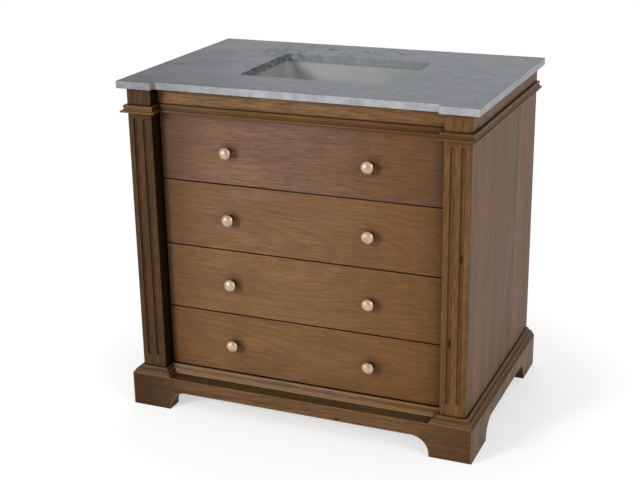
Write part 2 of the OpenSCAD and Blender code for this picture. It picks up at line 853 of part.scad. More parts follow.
marble_top();
basin();
basin_clips();
basin_clip_screws();
side_panel_left();
side_panel_right();
pilaster_left();
pilaster_right();
frieze_rail();
floor_panel();
back_rail_top();
back_rail_bottom();
rear_posts();
corner_blocks();
slide_cleats();
slide_cabinet_members();
neck_moulding_center();
neck_moulding_left();
neck_moulding_right();
base_moulding_center();
base_moulding_left();
base_moulding_right();
plinth_front();
plinth_left();
plinth_right();
plinth_back();
drawer_front(1);  // drawer_1_front
drawer_sides(1);  // drawer_1_sides
drawer_well(1, well_x, well_y);  // drawer_1_well
drawer_back(1, well_x);  // drawer_1_back
drawer_bottom(1, well_x, well_y);  // drawer_1_bottom
drawer_knobs(1);  // drawer_1_knobs
drawer_knob_screws(1);  // drawer_1_knob_screws
drawer_slide_members(1);  // drawer_1_slide_members
slide_middles(1);  // slide_middles_1
drawer_front(2);  // drawer_2_front
drawer_sides(2);  // drawer_2_sides
drawer_well(2, trap_w / 2, trap_y);  // drawer_2_well
drawer_back(2, trap_w / 2);  // drawer_2_back
drawer_bottom(2, trap_w / 2, trap_y);  // drawer_2_bottom
drawer_knobs(2);  // drawer_2_knobs
drawer_knob_screws(2);  // drawer_2_knob_screws
drawer_slide_members(2);  // drawer_2_slide_members
slide_middles(2);  // slide_middles_2
drawer_front(3);  // drawer_3_front
drawer_sides(3);  // drawer_3_sides
drawer_back(3, 0);  // drawer_3_back
drawer_bottom(3, 0, 0);  // drawer_3_bottom
drawer_knobs(3);  // drawer_3_knobs
drawer_knob_screws(3);  // drawer_3_knob_screws
drawer_slide_members(3);  // drawer_3_slide_members
slide_middles(3);  // slide_middles_3
drawer_front(4);  // drawer_4_front
drawer_sides(4);  // drawer_4_sides
drawer_back(4, 0);  // drawer_4_back
drawer_bottom(4, 0, 0);  // drawer_4_bottom
drawer_knobs(4);  // drawer_4_knobs
drawer_knob_screws(4);  // drawer_4_knob_screws
drawer_slide_members(4);  // drawer_4_slide_members
slide_middles(4);  // slide_middles_4
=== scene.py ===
import bpy
import bmesh
import json
import math
from mathutils import Matrix, Vector


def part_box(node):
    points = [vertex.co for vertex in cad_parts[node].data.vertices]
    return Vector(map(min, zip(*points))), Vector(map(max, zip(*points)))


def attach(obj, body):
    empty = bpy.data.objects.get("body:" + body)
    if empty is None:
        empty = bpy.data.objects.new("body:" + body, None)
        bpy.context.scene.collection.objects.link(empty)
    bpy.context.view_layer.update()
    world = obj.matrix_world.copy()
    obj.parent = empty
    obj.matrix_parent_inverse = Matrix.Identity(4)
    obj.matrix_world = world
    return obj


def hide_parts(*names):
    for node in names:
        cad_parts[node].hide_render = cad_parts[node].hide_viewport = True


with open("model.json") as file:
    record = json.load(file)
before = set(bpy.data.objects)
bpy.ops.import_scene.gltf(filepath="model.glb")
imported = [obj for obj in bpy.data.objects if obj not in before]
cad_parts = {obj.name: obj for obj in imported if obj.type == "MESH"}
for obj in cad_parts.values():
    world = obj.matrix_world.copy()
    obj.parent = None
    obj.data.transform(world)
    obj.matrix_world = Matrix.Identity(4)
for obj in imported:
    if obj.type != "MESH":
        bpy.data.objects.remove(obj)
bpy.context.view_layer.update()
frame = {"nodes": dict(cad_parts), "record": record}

cadNodes = frame["nodes"]
slotOf = {part["node"]: part["material_slot"] for part in frame["record"]["subparts"]}
print("frame loaded:", len(cadNodes), "pieces")


# Camera, where the photograph was taken from
cameraView = {
    "place": (1.172, -2.889, 1.495),
    "turn": 22.96,      # degrees to the left of straight ahead
    "down": 19.17,      # degrees below level
    "roll": -0.88,
    "lens": 70.8, "sensor": 36,
    "farthest": 60,
}


def makeCamera():
    data = bpy.data.cameras.new("camera")
    data.lens = cameraView["lens"]
    data.sensor_width = cameraView["sensor"]
    data.clip_end = cameraView["farthest"]
    camera = bpy.data.objects.new("camera", data)
    bpy.context.scene.collection.objects.link(camera)
    camera.location = cameraView["place"]
    aim = (Matrix.Rotation(math.radians(cameraView["turn"]), 3, "Z")
           @ Matrix.Rotation(math.radians(90 - cameraView["down"]), 3, "X")
           @ Matrix.Rotation(math.radians(cameraView["roll"]), 3, "Z"))
    camera.rotation_euler = aim.to_euler()
    bpy.context.scene.camera = camera


makeCamera()


# Small helpers for node trees
def addNode(tree, kind, values=None, **settings):
    node = tree.nodes.new("ShaderNode" + kind)
    for key, value in settings.items():
        setattr(node, key, value)
    for key, value in (values or {}).items():
        socket = node.inputs[key]
        if isinstance(value, bpy.types.NodeSocket):
            tree.links.new(value, socket)
        else:
            socket.default_value = value
    return node


def mathOf(tree, operation, a, b=0.0, c=0.0):
    return addNode(tree, "Math", {0: a, 1: b, 2: c}, operation=operation).outputs[0]


def vectorOf(tree, operation, a, b=(0.0, 0.0, 0.0)):
    return addNode(tree, "VectorMath", {0: a, 1: b}, operation=operation).outputs[0]


def scaleOf(tree, vector, scale):
    return addNode(tree, "VectorMath", {0: vector, "Scale": scale}, operation="SCALE").outputs[0]


def lengthOf(tree, vector):
    return addNode(tree, "VectorMath", {0: vector}, operation="LENGTH").outputs["Value"]


def partsOf(tree, vector):
    return addNode(tree, "SeparateXYZ", {0: vector}).outputs


def joined(tree, x, y=0.0, z=0.0):
    return addNode(tree, "CombineXYZ", {0: x, 1: y, 2: z}).outputs[0]


def noiseOf(tree, vector, scale=1.0, detail=2.0, rough=0.5):
    return addNode(tree, "TexNoise", {"Vector": vector, "Scale": scale, "Detail": detail,
                                      "Roughness": rough}).outputs[0]


def bendOf(tree, vector, scale, detail):
    # A smooth random push in all three directions
    push = addNode(tree, "TexNoise", {"Vector": vector, "Scale": scale, "Detail": detail}).outputs[1]
    return vectorOf(tree, "SUBTRACT", push, (0.5, 0.5, 0.5))


def rangeOf(tree, value, low, high, toLow=0.0, toHigh=1.0, smooth=True):
    node = addNode(tree, "MapRange", {0: value, 1: low, 2: high, 3: toLow, 4: toHigh})
    node.interpolation_type = "SMOOTHSTEP" if smooth else "LINEAR"
    return node.outputs[0]


def placeOnPiece(tree):
    return addNode(tree, "TexCoord").outputs["Object"]


def openSky(tree, reach):
    # 1 in the open, falling toward 0 in joints and hollows narrower than reach
    return addNode(tree, "AmbientOcclusion", {"Distance": reach}, samples=8).outputs["AO"]


def easedNormal(tree, radius):
    return addNode(tree, "Bevel", {"Radius": radius}, samples=4).outputs[0]


def colorMix(tree, share, a, b):
    node = addNode(tree, "Mix", data_type="RGBA")
    for index, value in ((0, share), (6, a), (7, b)):
        if isinstance(value, bpy.types.NodeSocket):
            tree.links.new(value, node.inputs[index])
        elif index == 0:
            node.inputs[0].default_value = value
        else:
            node.inputs[index].default_value = (*value[:3], 1.0)
    return node.outputs[2]


def linear(*shades):
    # A colour given as 0 to 255 on the screen, as light
    out = []
    for shade in shades:
        c = shade / 255
        out.append(c / 12.92 if c <= 0.04045 else ((c + 0.055) / 1.055) ** 2.4)
    return tuple(out)


def tinted(tree, color, share, amount, other):
    # The colour mixed toward other, which is given as on the screen, by share times amount
    return colorMix(tree, mathOf(tree, "MULTIPLY", share, amount), color, linear(*other))


def newMaterial(name):
    material = bpy.data.materials.new(name)
    material.use_nodes = True
    tree = material.node_tree
    tree.nodes.clear()
    shader = addNode(tree, "BsdfPrincipled")
    output = addNode(tree, "OutputMaterial")
    tree.links.new(shader.outputs[0], output.inputs[0])
    return material, tree, shader


def softNormal(tree, height, strength, distance, edge):
    # Fine relief over edges that are eased by the radius edge
    return addNode(tree, "Bump", {"Strength": strength, "Distance": distance,
                                  "Height": height, "Normal": easedNormal(tree, edge)}).outputs[0]


# Studio
studio = {
    "floorHalf": 14, "floorDrop": 0.0006,
    "floorColor": (0.95, 0.95, 0.95), "floorRough": 0.9,
    "floorWhite": 0.40,       # how much of the floor near the unit is plain glow to the camera
    "floorGlow": 1.42,
    "floorNear": 0.58, "floorFar": 1.15,    # all of it is plain white past the second distance
    "worldLight": 0.36,
    "frontShade": 0.80,       # how bright polished metal sees the room behind the camera
    "frontFade": (-0.55, 0.25),
}
lamps = {
    "key": dict(place=(-2.1, -4.4, 2.3), size=1.3, power=135, mirrored=False),
    "fill": dict(place=(3.6, -2.2, 2.2), size=2.4, power=66),
    "top": dict(place=(0.0, 0.4, 3.6), size=2.6, power=2),
    "low": dict(place=(-2.2, -3.6, 0.72), size=0.7, power=20),    # the soft spot on the knobs
    "back": dict(place=(-1.0, 4.2, 1.4), size=2.4, power=75, mirrored=False),
}


def whiteWhereSeen(tree):
    # Gives 1 for rays from the camera, then 1 for rays from the camera, a polished face or a clear one
    path = addNode(tree, "LightPath").outputs
    seen = mathOf(tree, "MAXIMUM", path["Is Camera Ray"], path["Is Glossy Ray"])
    return path["Is Camera Ray"], mathOf(tree, "MAXIMUM", seen, path["Is Transmission Ray"])


def makeFloor():
    bm = bmesh.new()
    bmesh.ops.create_grid(bm, x_segments=1, y_segments=1, size=studio["floorHalf"])
    mesh = bpy.data.meshes.new("floor")
    bm.to_mesh(mesh)
    bm.free()
    floor = bpy.data.objects.new("floor", mesh)
    floor.location = (0, 0, -studio["floorDrop"])
    bpy.context.scene.collection.objects.link(floor)
    material, tree, shader = newMaterial("paleFloor")
    shader.inputs["Base Color"].default_value = (*studio["floorColor"], 1)
    shader.inputs["Roughness"].default_value = studio["floorRough"]
    shader.inputs["Specular IOR Level"].default_value = 0.0
    seen = whiteWhereSeen(tree)[1]
    place = addNode(tree, "NewGeometry").outputs["Position"]
    gap = lengthOf(tree, vectorOf(tree, "MULTIPLY", place, (1.0, 1.0, 0.0)))
    near, far = studio["floorNear"], studio["floorFar"]
    strength = rangeOf(tree, gap, near, far, studio["floorGlow"], 1.0)
    glow = addNode(tree, "Emission", {"Color": (1, 1, 1, 1), "Strength": strength})
    share = mathOf(tree, "MULTIPLY", seen, rangeOf(tree, gap, near, far, studio["floorWhite"], 1.0))
    mixed = addNode(tree, "MixShader", {0: share})
    tree.links.new(shader.outputs[0], mixed.inputs[1])
    tree.links.new(glow.outputs[0], mixed.inputs[2])
    output = next(n for n in tree.nodes if n.type == "OUTPUT_MATERIAL")
    tree.links.new(mixed.outputs[0], output.inputs[0])
    mesh.materials.append(material)


def makeWorld():
    world = bpy.data.worlds.new("studio")
    bpy.context.scene.world = world
    world.use_nodes = True
    tree = world.node_tree
    tree.nodes.clear()
    fromCamera, seen = whiteWhereSeen(tree)
    y = partsOf(tree, addNode(tree, "TexCoord").outputs["Generated"])[1]
    room = rangeOf(tree, y, *studio["frontFade"], studio["frontShade"], 1.0)
    strength = mathOf(tree, "MULTIPLY", mathOf(tree, "MAXIMUM", room, fromCamera), seen)
    unseen = mathOf(tree, "SUBTRACT", 1.0, seen)
    strength = mathOf(tree, "MULTIPLY_ADD", unseen, studio["worldLight"], strength)
    background = addNode(tree, "Background", {"Color": (1, 1, 1, 1), "Strength": strength})
    output = addNode(tree, "OutputWorld")
    tree.links.new(background.outputs[0], output.inputs[0])


def makeLamp(name, place, size, power, mirrored=True, target=(0, 0, 0.45)):
    data = bpy.data.lights.new(name, "AREA")
    data.shape = "DISK"
    data.size = size
    data.energy = power
    lamp = bpy.data.objects.new(name, data)
    lamp.location = place
    lamp.visible_glossy = mirrored
    lamp.rotation_euler = (Vector(target) - Vector(place)).to_track_quat("-Z", "Y").to_euler()
    bpy.context.scene.collection.objects.link(lamp)


makeFloor()
makeWorld()
for name, lamp in lamps.items():
    makeLamp(name, **lamp)
bpy.context.scene.view_settings.view_transform = "Standard"
print("studio ready")


# Stained wood. Colours are as seen on the screen, lengths are in metres.
woodBasics = {
    "heart": (0.0, 0.0),      # where the tree's heart lay, across the board and through it
    "lean": (0.02, 0.10),     # how far the heart leans, across and through, for each metre along
    "ringWidth": 0.011,
    "wander": 0.008,          # how far the grain strays from straight
    "patchSize": (0.42, 0.10),    # length and width of the paler and greyer patches
    "patchShare": 0.7,
    "rings": 0.14, "streaks": 0.15, "mottle": 0.24,    # how strongly each mark darkens the wood
    "fine": 0.22, "pores": 0.35, "dashes": 0.30,
    "toneAndShadeDrifts": (),             # (colour, where it starts, where it is full) along the grain; tone, and painted shade at the drawers' left ends
    "edgeEase": 0.0012,
    "edgeHighlightAndWear": 0.22,
    "paleReach": 1.6, "paleLight": 1.5,    # arrises paled by painted highlight and wear, against the ease and the light colour
    "jointGlazeAndShadeReach": 0.0065,      # black glaze and painted shade in the joints
    "jointGlazeAndShadeDepth": 0.92,
    "paintedShadeReach": 0.030,      # and thinner painted shade further out
    "paintedShadeDepth": 0.50,
    "glazeAndShadeLight": 0.22,       # the colour of the glaze and the painted shade, against the dark colour
    "paintedReturnShade": 0.0,        # painted shade on faces that look to the middle of the cabinet
    "paintedLedgeShade": 0.0,         # painted shade on faces that look up
    "paintedFluteShade": 0.0,         # painted shade on the side of a flute that looks to the right
    "lip": None,              # painted light: (colour, share) on the upright faces of a moulding
    "rough": 0.46,
    "shine": 0.12,
    "seed": 0.0,
    "knots": (),              # (along, across, size)
}
# Length and width of each mark, the noise values between which it fades in, and its detail
grainMarks = {
    "glow": (0.13, 0.045, 0.32, 0.70, 2.0),
    "mottle": (0.048, 0.0032, 0.42, 0.66, 3.0),
    "streaks": (0.30, 0.0085, 0.42, 0.68, 3.0),
    "fine": (0.16, 0.0018, 0.36, 0.70, 3.0),
    "pores": (0.016, 0.0009, 0.58, 0.70, 1.0),
    "dashes": (0.060, 0.0032, 0.66, 0.76, 2.0),
}
seedSteps = (1.0, 0.37, 0.11)    # how far a seed moves the figure along, across and through


def grainSpace(tree, along):
    # Turns the piece's own coordinates so that the grain runs along the first one
    x, y, z = partsOf(tree, placeOnPiece(tree))[:3]
    orders = {"x": (x, z, y), "y": (y, z, x), "z": (z, x, y)}
    if along != "mitred":
        return joined(tree, *orders[along])
    normal = partsOf(tree, addNode(tree, "NewGeometry").outputs["Normal"])
    sideways = mathOf(tree, "GREATER_THAN", mathOf(tree, "ABSOLUTE", normal[0]),
                      mathOf(tree, "ABSOLUTE", normal[1]))
    node = addNode(tree, "Mix", data_type="VECTOR")
    tree.links.new(sideways, node.inputs[0])
    tree.links.new(joined(tree, x, z, y), node.inputs[4])
    tree.links.new(joined(tree, y, z, x), node.inputs[5])
    return node.outputs[1]


def stretched(tree, vector, length, width):
    # Noise in this space has features of about this length and width
    return vectorOf(tree, "MULTIPLY", vector, (1 / length, 1 / width, 1 / width))


def growthRings(tree, flow, look):
    # 0 in the pale early wood of each year, rising to 1 at its dark end
    u, v, w = partsOf(tree, flow)[:3]
    fromHeart = []
    for place, middle, lean in zip((v, w), look["heart"], look["lean"]):
        there = mathOf(tree, "MULTIPLY_ADD", u, lean, middle)
        fromHeart.append(mathOf(tree, "SUBTRACT", place, there))
    years = mathOf(tree, "DIVIDE", lengthOf(tree, joined(tree, *fromHeart)), look["ringWidth"])
    uneven = noiseOf(tree, joined(tree, years), 0.55, 2.0)
    years = mathOf(tree, "MULTIPLY_ADD", uneven, 1.6, years)
    part = mathOf(tree, "FRACT", years)
    rise = rangeOf(tree, part, 0.15, 0.90)
    fall = rangeOf(tree, part, 0.90, 1.0, 1.0, 0.0)
    return mathOf(tree, "MULTIPLY", rise, fall)


def knotsIn(tree, flow, look):
    # Knots push the grain aside and are dark at their heart
    heart = None
    for along, across, size in look["knots"]:
        away = vectorOf(tree, "SUBTRACT", flow, (along, across, 0.0))
        away = vectorOf(tree, "MULTIPLY", away, (0.35, 1.0, 0.0))
        gap = lengthOf(tree, away)
        near = rangeOf(tree, gap, size * 0.4, size * 4.0, 1.0, 0.0)
        push = vectorOf(tree, "MULTIPLY", away, (0.0, -0.7, 0.0))
        flow = vectorOf(tree, "ADD", flow, scaleOf(tree, push, near))
        spot = rangeOf(tree, gap, size * 0.35, size * 1.15, 0.85, 0.0)
        heart = spot if heart is None else mathOf(tree, "MAXIMUM", spot, heart)
    return flow, heart


def paintedLightWearAndGlaze(tree, color, light, glazeAndShadeColor, look):
    # Arrises are paler: painted highlight with some wear. Joints and hollows are darker: painted shade,
    # with dark glaze in the narrow joints
    geometry = addNode(tree, "NewGeometry").outputs
    rounded = easedNormal(tree, look["edgeEase"] * look["paleReach"])
    agree = addNode(tree, "VectorMath", {0: geometry["True Normal"], 1: rounded},
                    operation="DOT_PRODUCT").outputs["Value"]
    # Paler arrises: painted highlight and wear
    edgeHighlightAndWearMask = rangeOf(tree, agree, 0.995, 0.90, 0.0, look["edgeHighlightAndWear"])
    color = colorMix(tree, edgeHighlightAndWearMask, color, linear(*(min(255, c * look["paleLight"]) for c in light)))
    # Occlusion darkens joints and hollows: painted shade, with dark glaze in the narrow joints
    for reach, depth, low, high in ((look["paintedShadeReach"], look["paintedShadeDepth"], 0.40, 0.95),
                                    (look["jointGlazeAndShadeReach"], look["jointGlazeAndShadeDepth"], 0.45, 0.80)):
        sky = openSky(tree, reach)
        color = colorMix(tree, rangeOf(tree, sky, low, high, depth, 0.0), color, glazeAndShadeColor)
    normal = partsOf(tree, geometry["True Normal"])
    # Painted shade on faces that look to the middle of the cabinet
    if look["paintedReturnShade"]:
        side = mathOf(tree, "SIGN", partsOf(tree, geometry["Position"])[0])
        inward = mathOf(tree, "MULTIPLY", mathOf(tree, "MULTIPLY", normal[0], side), -1.0)
        color = colorMix(tree, rangeOf(tree, inward, 0.6, 0.8, 0.0, look["paintedReturnShade"]), color, glazeAndShadeColor)
    # Painted shade on the flute walls that look to the right
    if look["paintedFluteShade"]:
        sunk = rangeOf(tree, sky, 0.985, 0.90, 0.0, look["paintedFluteShade"])
        turned = rangeOf(tree, normal[0], 0.08, 0.50)
        color = colorMix(tree, mathOf(tree, "MULTIPLY", sunk, turned), color, glazeAndShadeColor)
    # Painted light on the upright faces of a moulding
    if look["lip"]:
        lipColor, lipShare = look["lip"]
        upright = rangeOf(tree, mathOf(tree, "ABSOLUTE", normal[2]), 0.35, 0.1, 0.0, lipShare)
        color = colorMix(tree, upright, color, linear(*lipColor))
    # Painted shade on faces that look up
    if look["paintedLedgeShade"]:
        color = colorMix(tree, rangeOf(tree, normal[2], 0.8, 0.95, 0.0, look["paintedLedgeShade"]), color, glazeAndShadeColor)
    return color


def makeWood(name, along, dark, mid, light, patch, **changes):
    look = {**woodBasics, **changes}
    material, tree, shader = newMaterial(name)
    home, knotHeart = knotsIn(tree, grainSpace(tree, along), look)
    seeded = vectorOf(tree, "ADD", home, tuple(look["seed"] * step for step in seedSteps))
    bend = bendOf(tree, stretched(tree, seeded, 0.55, 0.13), 1.0, 2.0)
    bend = vectorOf(tree, "MULTIPLY", bend, (0.0, look["wander"] * 4, look["wander"] * 4))
    flow = vectorOf(tree, "ADD", seeded, bend)

    def grain(length, width, low, high, detail):
        noise = noiseOf(tree, stretched(tree, flow, length, width), 1.0, detail, 0.6)
        return rangeOf(tree, noise, low, high)

    marks = {kind: grain(*sizes) for kind, sizes in grainMarks.items()}
    marks["rings"] = growthRings(tree, vectorOf(tree, "ADD", home, bend), look)
    color = colorMix(tree, marks["glow"], linear(*mid), linear(*light))
    color = tinted(tree, color, grain(*look["patchSize"], 0.36, 0.64, 2.0), look["patchShare"], patch)
    where = partsOf(tree, home)[0]
    for other, start, full in look["toneAndShadeDrifts"]:
        color = colorMix(tree, rangeOf(tree, where, start, full), color, linear(*other))
    for kind in ("rings", "streaks", "mottle", "fine", "pores", "dashes"):
        color = tinted(tree, color, marks[kind], look[kind], dark)
    # The colour of the glaze and of the painted shade
    glazeAndShadeColor = tuple(look["glazeAndShadeLight"] * c for c in linear(*dark))
    if knotHeart is not None:
        color = colorMix(tree, knotHeart, color, glazeAndShadeColor)
    color = paintedLightWearAndGlaze(tree, color, light, glazeAndShadeColor, look)

    tree.links.new(color, shader.inputs["Base Color"])
    sheen = mathOf(tree, "MULTIPLY_ADD", marks["rings"], 0.08, look["rough"] - 0.04)
    sheen = mathOf(tree, "MULTIPLY_ADD", marks["pores"], 0.15, sheen)
    tree.links.new(sheen, shader.inputs["Roughness"])
    shader.inputs["Specular IOR Level"].default_value = look["shine"]
    relief = mathOf(tree, "MULTIPLY", marks["fine"], -0.4)
    relief = mathOf(tree, "MULTIPLY_ADD", marks["pores"], -0.8, relief)
    tree.links.new(softNormal(tree, relief, 0.35, 0.0006, look["edgeEase"]), shader.inputs["Normal"])
    return material


# Drawer fronts. Each one's heart is given from the middle of the front and from its face.
# On each drawer front the first drift darkens its left end: painted shade beside the left post
drawerTones = {
    1: dict(dark=(62, 42, 33), mid=(121, 90, 69), light=(131, 99, 76), patch=(112, 88, 75),
            heart=(0.03, 0.07), lean=(0.03, 0.10), seed=3.7, rings=0.10, mottle=0.36, dashes=0.55,
            toneAndShadeDrifts=(((92, 66, 46), -0.20, -0.372), ((108, 76, 47), -0.05, 0.30))),
    2: dict(dark=(64, 42, 28), mid=(120, 90, 61), light=(130, 98, 68), patch=(115, 88, 64),
            heart=(-0.05, 0.10), lean=(0.02, 0.12), seed=7.4,
            toneAndShadeDrifts=(((100, 71, 46), -0.22, -0.372), ((115, 80, 48), 0.0, 0.34))),
    3: dict(dark=(64, 41, 26), mid=(126, 93, 60), light=(136, 101, 68), patch=(119, 89, 61),
            heart=(0.06, 0.06), lean=(-0.03, 0.14), seed=11.1,
            toneAndShadeDrifts=(((106, 76, 48), -0.22, -0.372), ((115, 81, 46), 0.0, 0.34))),
    4: dict(dark=(62, 40, 24), mid=(124, 90, 56), light=(134, 99, 64), patch=(117, 86, 57),
            heart=(-0.02, 0.12), lean=(0.02, 0.10), seed=14.8,
            toneAndShadeDrifts=(((106, 75, 47), -0.22, -0.372), ((116, 80, 44), 0.0, 0.34))),
}
drawerEndShade = {"light": 0.76, "start": 0.325, "full": 0.378}    # painted shade, once more, beside the right post
finishes = {}
for i, tones in drawerTones.items():
    low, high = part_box("drawer_%d_front" % i)
    across, through = tones["heart"]
    rightColor = tones["toneAndShadeDrifts"][1][0]
    endShade = (tuple(drawerEndShade["light"] * c for c in rightColor), drawerEndShade["start"], drawerEndShade["full"])
    tones["heart"] = ((low.z + high.z) / 2 + across, low.y + through)
    tones["toneAndShadeDrifts"] += (endShade,)
    finishes["drawer_%d_front" % i] = makeWood("walnutDrawer%d" % i, "x", **tones)

# The other woods
postLook = dict(along="z", jointGlazeAndShadeDepth=0.9, edgeHighlightAndWear=0.35, paintedReturnShade=0.88, paintedFluteShade=0.85, streaks=0.35,
                rings=0.25, ringWidth=0.006, patchSize=(0.30, 0.022))
mouldingLook = dict(edgeHighlightAndWear=0.45, paintedReturnShade=0.85, ringWidth=0.005, heart=(0.6, -0.6),
                    patchSize=(0.25, 0.05))
woods = {
    "walnut_frieze": dict(
        name="walnutFrieze", along="x", dark=(60, 40, 26), mid=(130, 96, 62), light=(144, 110, 74),
        patch=(120, 92, 62), seed=1.3, heart=(0.77, -0.20), lean=(0.01, 0.12), mottle=0.5, dashes=0.4,
        paintedShadeDepth=0.25, toneAndShadeDrifts=(((130, 95, 56), 0.0, 0.34),)),
    "pilaster_left": dict(
        name="walnutPostLeft", dark=(38, 22, 9), mid=(78, 51, 26), light=(89, 61, 34),
        patch=(73, 54, 31), seed=5.1, heart=(-0.36, -0.22), **postLook),
    "pilaster_right": dict(
        name="walnutPostRight", dark=(56, 33, 15), mid=(109, 76, 43), light=(122, 87, 51),
        patch=(100, 74, 41), seed=12.6, heart=(0.45, -0.20),
        knots=((0.506, 0.4175, 0.005), (0.293, 0.394, 0.006)), **postLook),
    "walnut_side": dict(
        name="walnutSide", along="z", dark=(80, 56, 43), mid=(128, 96, 74), light=(137, 103, 81),
        patch=(113, 93, 75), seed=8.3, heart=(0.56, 0.05), ringWidth=0.012, rings=0.16,
        patchSize=(1.6, 0.060), patchShare=1.0, streaks=0.25, mottle=0.12, dashes=0.2, shine=0.04),
    "walnut_moulding": dict(
        name="walnutMoulding", along="mitred", dark=(54, 34, 17), mid=(106, 76, 46),
        light=(118, 86, 54), patch=(98, 73, 47), seed=2.2, toneAndShadeDrifts=(((94, 64, 32), 0.0, 0.34),),
        **mouldingLook),
    "base_moulding_left": dict(
        name="walnutBaseLeft", along="mitred", dark=(44, 28, 14), mid=(92, 70, 50), light=(104, 80, 58),
        patch=(86, 68, 52), seed=3.3, lip=((124, 92, 56), 0.5), **mouldingLook),
    "base_moulding_right": dict(
        name="walnutBaseRight", along="mitred", dark=(54, 34, 16), mid=(102, 74, 44),
        light=(116, 86, 54), patch=(94, 70, 44), seed=3.3, lip=((124, 92, 56), 0.5), **mouldingLook),
    "base_moulding_center": dict(
        name="walnutBaseCenter", along="x", dark=(60, 42, 28), mid=(124, 96, 76), light=(136, 107, 84),
        patch=(115, 92, 76), seed=4.6, toneAndShadeDrifts=(((122, 90, 56), 0.0, 0.34),), paintedShadeDepth=0.10,
        jointGlazeAndShadeDepth=0.6, lip=((148, 116, 74), 0.8), **mouldingLook),
    "walnut_plinth": dict(
        name="walnutPlinth", along="mitred", dark=(46, 30, 16), mid=(116, 84, 54), light=(128, 94, 61),
        patch=(102, 76, 49), seed=6.4, heart=(0.02, -0.36), lean=(0.02, 0.12), streaks=0.35,
        mottle=0.35, dashes=0.5, paintedLedgeShade=0.38, edgeHighlightAndWear=0.45, edgeEase=0.0022, paintedShadeDepth=0.35,
        toneAndShadeDrifts=(((64, 42, 22), -0.24, -0.44), ((94, 65, 38), 0.24, 0.44)),
        knots=((0.115, 0.056, 0.0035), (0.175, 0.055, 0.003))),
    "birch": dict(
        name="birchPly", along="x", dark=(150, 120, 84), mid=(196, 168, 128), light=(212, 188, 150),
        patch=(200, 172, 132), seed=9.9, ringWidth=0.02, streaks=0.2, fine=0.2, pores=0.1, mottle=0.1,
        edgeHighlightAndWear=0.1, paintedShadeDepth=0.2, jointGlazeAndShadeDepth=0.3, rough=0.5, shine=0.3),
}
for slot, look in woods.items():
    finishes[slot] = makeWood(**look)
print("woods ready")


# Stone top
stoneLook = {
    "face": (109, 113, 120), "cloud": (130, 134, 141), "vein": (90, 94, 102), "darkVein": (50, 57, 56),
    "cornerFace": (70, 74, 83), "cornerReach": (-0.18, -0.50),    # darker at the front left corner
    "warpSize": 3.0, "warp": 0.24, "slant": (1.0, 1.9, 1.0),      # how the figure is bent and drawn out
    "cloudSize": 6.0, "mottleSize": 26.0, "mottleShare": 0.22,
    "softSize": 3.6, "softShare": 0.30, "thinSize": 11.0, "thinShare": 0.45,    # soft and thin veins
    "streakSize": (14.0, 60.0, 40.0), "streakShare": 0.4,
    "veinPlace": (-0.19, 0.13, 0.85), "veinReach": 0.26, "veinShare": 0.8,      # the strongest veins
    # The upright edges are paler than the face: painted light, darker toward the left end
    "edge": (182, 182, 184), "paintedEdgeLight": 0.62, "edgeMottle": 0.35,
    "leftEdge": (140, 139, 138), "leftReach": (-0.15, -0.47),
    "edgePatches": ((148, 156, 160), (178, 164, 158)),            # bluish and pinkish ones
    "patchSize": 24.0, "patchShare": 0.6,
    "cut": (166, 169, 170), "cutShare": 0.5,                      # round the basin
    "cutVeinSize": 55.0, "cutVeinFrom": 0.12, "cutVeinFull": 0.19, "cutVeinShares": (0.12, 0.55),
    "rough": 0.36, "shine": 0.12, "edgeEase": 0.001, "gritSize": 900.0,
    # Occlusion darkens hollows: painted shade
    "hollowReach": 0.028, "paintedHollowShade": 0.30,
}


def ridgesOf(tree, vector, scale, detail, rough):
    # 0 along the thin lines where the noise crosses its middle
    noise = noiseOf(tree, vector, scale, detail, rough)
    return mathOf(tree, "ABSOLUTE", mathOf(tree, "SUBTRACT", noise, 0.5))


def stoneEdges(tree, color, point, warped, mottle, look):
    # The upright edges are paler than the face: painted light. The cut round the basin is paler too,
    # with dark veins at its left.
    normal = partsOf(tree, addNode(tree, "NewGeometry").outputs["Normal"])
    upright = rangeOf(tree, mathOf(tree, "ABSOLUTE", normal[2]), 0.9, 0.5, 0.0, 1.0)
    toLeft = rangeOf(tree, partsOf(tree, warped)[0], *look["leftReach"])
    litEdgeColor = colorMix(tree, toLeft, linear(*look["edge"]), linear(*look["leftEdge"]))
    for k, patch in enumerate(look["edgePatches"]):
        apart = vectorOf(tree, "ADD", point, (0.3 * k, 0.7 * k, 0.0))
        spots = noiseOf(tree, apart, look["patchSize"], 3.0, 0.6)
        spots = rangeOf(tree, spots, 0.50, 0.66, 0.0, look["patchShare"])
        litEdgeColor = colorMix(tree, spots, litEdgeColor, linear(*patch))
    litEdgeColor = tinted(tree, litEdgeColor, mottle, look["edgeMottle"], look["vein"])
    low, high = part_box("basin")
    centre = (low + high) / 2
    place = partsOf(tree, point)
    overBasin = [mathOf(tree, "COMPARE", place[axis], centre[axis], (high[axis] - low[axis]) / 2)
                 for axis in (0, 1)]
    overBasin = mathOf(tree, "MULTIPLY", *overBasin)
    outside = mathOf(tree, "MULTIPLY", upright, mathOf(tree, "SUBTRACT", 1.0, overBasin))
    color = colorMix(tree, mathOf(tree, "MULTIPLY", outside, look["paintedEdgeLight"]), color, litEdgeColor)
    inCut = mathOf(tree, "MULTIPLY", upright, overBasin)
    color = tinted(tree, color, inCut, look["cutShare"], look["cut"])
    towardLeft = rangeOf(tree, place[0], centre.x - look["cutVeinFrom"], centre.x - look["cutVeinFull"],
                         *look["cutVeinShares"])
    streaky = rangeOf(tree, noiseOf(tree, warped, look["cutVeinSize"], 3.0, 0.6), 0.40, 0.56)
    return tinted(tree, color, mathOf(tree, "MULTIPLY", inCut, towardLeft), streaky, look["darkVein"])


